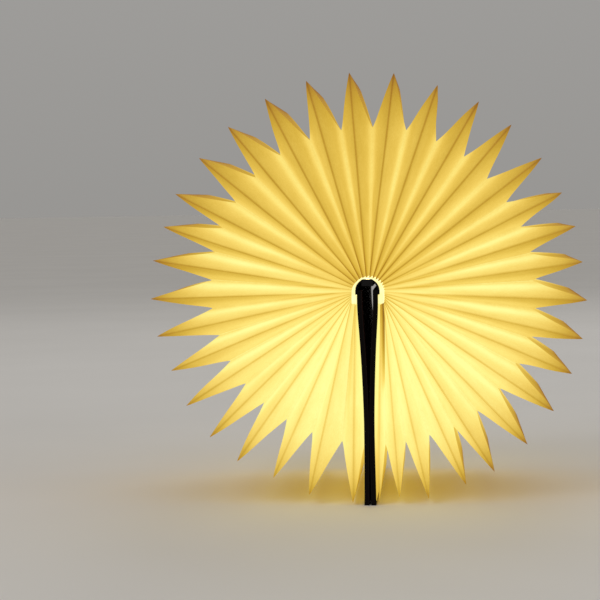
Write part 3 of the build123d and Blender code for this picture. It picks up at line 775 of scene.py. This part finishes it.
def object_of(name, shells, mats):
    verts, faces = [], []
    for v, f in shells:
        off = len(verts)
        verts += v
        faces += [tuple(i + off for i in face) for face in f]
    mesh = bpy.data.meshes.new(name)
    mesh.from_pydata(verts, [], faces)
    mesh.validate()
    import bmesh
    bm = bmesh.new()
    bm.from_mesh(mesh)
    bmesh.ops.recalc_face_normals(bm, faces=bm.faces)
    bm.to_mesh(mesh)
    bm.free()
    for p in mesh.polygons:
        p.use_smooth = False
    return new_object(name, mesh, mats)


def arch_path(side, radius, centre_z, foot_z, from_x, steps=22, rise=None):
    """Points at one radius, from beside the middle over the shoulder and down the leg."""
    a0 = math.asin(min(1.0, from_x / radius))
    pts = []
    for i in range(steps + 1):
        a = a0 + (math.pi / 2 - a0) * i / steps
        pts.append((side * radius * math.sin(a), centre_z + (rise or radius) * math.cos(a)))
    if foot_z < centre_z - 0.05:
        for i in range(1, 7):
            pts.append((side * radius, centre_z + (foot_z - centre_z) * i / 6))
    return pts


SOFT = []
for side, word in ((-1, "left"), (1, "right")):
    # diffuser half: shell, with a lip closing each end
    outer = arch_path(side, DIFF_R_OUT, DIFF_Z, DIFF_FOOT_Z, 0.06, rise=SHELL_OUT_RISE)
    inner = arch_path(side, DIFF_R_IN, DIFF_Z, DIFF_FOOT_Z, 0.06, rise=SHELL_IN_RISE)
    shells = [extruded("d", outer + inner[::-1], -DIFF_LEN / 2, DIFF_LEN / 2, None)]
    lip_out = arch_path(side, DIFF_R_IN + 0.05, DIFF_Z, DIFF_FOOT_Z, 5.0, rise=SHELL_IN_RISE + 0.05)
    lip_in = []
    for x, z in lip_out:
        d = math.hypot(x, z - ARCH_Z) if z > ARCH_Z else abs(x)
        s_ = (ARCH_R + 0.15) / d if z > ARCH_Z else 1.0
        lip_in.append((x * s_, ARCH_Z + (z - ARCH_Z) * s_) if z > ARCH_Z else (side * (ARCH_R + 0.15 if z > STRIP_Z0 - 0.3 else 8.4), z))
    for y in (-DIFF_LEN / 2, DIFF_LEN / 2 - LIP_T):
        shells.append(extruded("l", lip_out + lip_in[::-1], y, y + LIP_T, None))
    ob = object_of(f"diffuser_half_{word}", shells, [DIFFUSER])
    SOFT.append((ob, word, f"{word}_diffuser", "diffuser_silicone"))
    # light strip
    a0, a1 = math.acos(7.5 / FLEX_R), math.acos(0.1 / FLEX_R)
    arc = [(a0 + (a1 - a0) * i / 14) for i in range(15)]
    outer = [(side * (FLEX_R + FLEX_T) * math.sin(a), ARCH_Z + (FLEX_R + FLEX_T) * math.cos(a)) for a in arc]
    inner = [(side * FLEX_R * math.sin(a), ARCH_Z + FLEX_R * math.cos(a)) for a in arc]
    ob = object_of(f"light_strip_{word}", [extruded("f", outer + inner[::-1], -101.0, 101.0, None)], [FLEX])
    SOFT.append((ob, word, f"{word}_led_strip", "flex_circuit"))
    # its lights
    shells = []
    tilt = math.asin(2.0 / 10.0)
    for k in range(LED_COUNT):
        y = (k - (LED_COUNT - 1) / 2) * LED_PITCH
        verts, faces = [], []
        for yy in (y - 1.4, y + 1.4):
            for r, w in ((LED_R0, -1.45), (LED_R1, -1.45), (LED_R1, -0.9), (LED_R1 - 0.08, -0.8), (LED_R1 - 0.08, 0.8), (LED_R1, 0.9), (LED_R1, 1.45), (LED_R0, 1.45)):
                c, s_ = math.cos(tilt), math.sin(tilt)
                x, z = r * c - w * s_, ARCH_Z + r * s_ + w * c
                verts.append((side * x * MM, yy * MM, z * MM))
        n = 8
        for i in range(n):
            faces.append((i, (i + 1) % n, n + (i + 1) % n, n + i))
        faces.append(tuple(range(n)))
        faces.append(tuple(range(2 * n - 1, n - 1, -1)))
        shells.append((verts, faces))
    ob = object_of(f"light_packages_{word}", shells, [LED])
    SOFT.append((ob, word, f"{word}_leds", "led_package"))

for ob, word, node, slot_name in SOFT:
    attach(ob, "spine")
    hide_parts(node)
    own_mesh(ob)

for side, word in ((-1, "left"), (1, "right")):
    # hinge strip, bending between the rail and the cover
    outer = arch_path(side, ARCH_R, ARCH_Z, STRIP_Z0, RAIL_W / 2 + 0.05)
    inner = arch_path(side, STRIP_R_IN, ARCH_Z, STRIP_Z0, RAIL_W / 2 + 0.05)
    ob = object_of(f"spine_strip_{word}", [extruded("h", outer + inner[::-1], -HALF_LEN + 0.5, HALF_LEN - 0.5, None)], [STRIP])
    for p in ob.data.polygons:
        p.use_smooth = abs(p.normal.y) < 0.5
    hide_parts(f"{word}_hinge_strip")
    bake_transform(ob)

# ---------------------------------------------------------------------------
# Stage: pale floor, soft studio light
# ---------------------------------------------------------------------------
floor_mesh = bpy.data.meshes.new("floor")
S = 40.0
floor_mesh.from_pydata([(-S, -S, 0), (S, -S, 0), (S, S, 0), (-S, S, 0)], [], [(0, 1, 2, 3)])
fm, fnt, fb = material("floor")
fco = object_coords(fnt)
fcol = ramp(fnt, noise_tex(fnt, fco, 3.0, 2.0), [(0.3, (0.72, 0.70, 0.67)), (0.7, (0.75, 0.73, 0.70))])
fnt.links.new(fcol, fb.inputs["Base Color"])
fb.inputs["Roughness"].default_value = 0.7
fb.inputs["Specular IOR Level"].default_value = 0.2
floor = new_object("floor", floor_mesh, [fm])

world = bpy.data.worlds.new("world")
scene.world = world
world.use_nodes = True
wnt = world.node_tree
bg = wnt.nodes["Background"]
wco = wnt.nodes.new("ShaderNodeTexCoord")
wsplit = wnt.nodes.new("ShaderNodeSeparateXYZ")
wnt.links.new(wco.outputs["Generated"], wsplit.inputs[0])
sky = ramp(wnt, wsplit.outputs["Z"], [(0.0, (0.315, 0.307, 0.295)), (0.02, (0.32, 0.312, 0.30)), (0.2, (0.36, 0.352, 0.34)), (0.5, (0.43, 0.422, 0.41)), (1.0, (0.46, 0.452, 0.44))])
wnt.links.new(sky, bg.inputs[0])
bg.inputs[1].default_value = 1.0


def area_light(name, at, to, size, power, colour=(1, 1, 1)):
    data = bpy.data.lights.new(name, "AREA")
    data.shape = "DISK"
    data.size = size
    data.energy = power
    data.color = colour
    ob = bpy.data.objects.new(name, data)
    scene.collection.objects.link(ob)
    ob.location = at
    ob.rotation_mode = "QUATERNION"
    ob.rotation_quaternion = (Vector(to) - Vector(at)).to_track_quat("-Z", "Y")
    return ob


area_light("key", (-1.6, -1.8, 2.2), (0, 0, 0.15), 1.6, 14)
area_light("fill", (2.0, -1.2, 1.4), (0, 0, 0.15), 1.8, 6)
area_light("back", (0.3, 2.0, 2.0), (0, 0, 0.15), 1.6, 8)
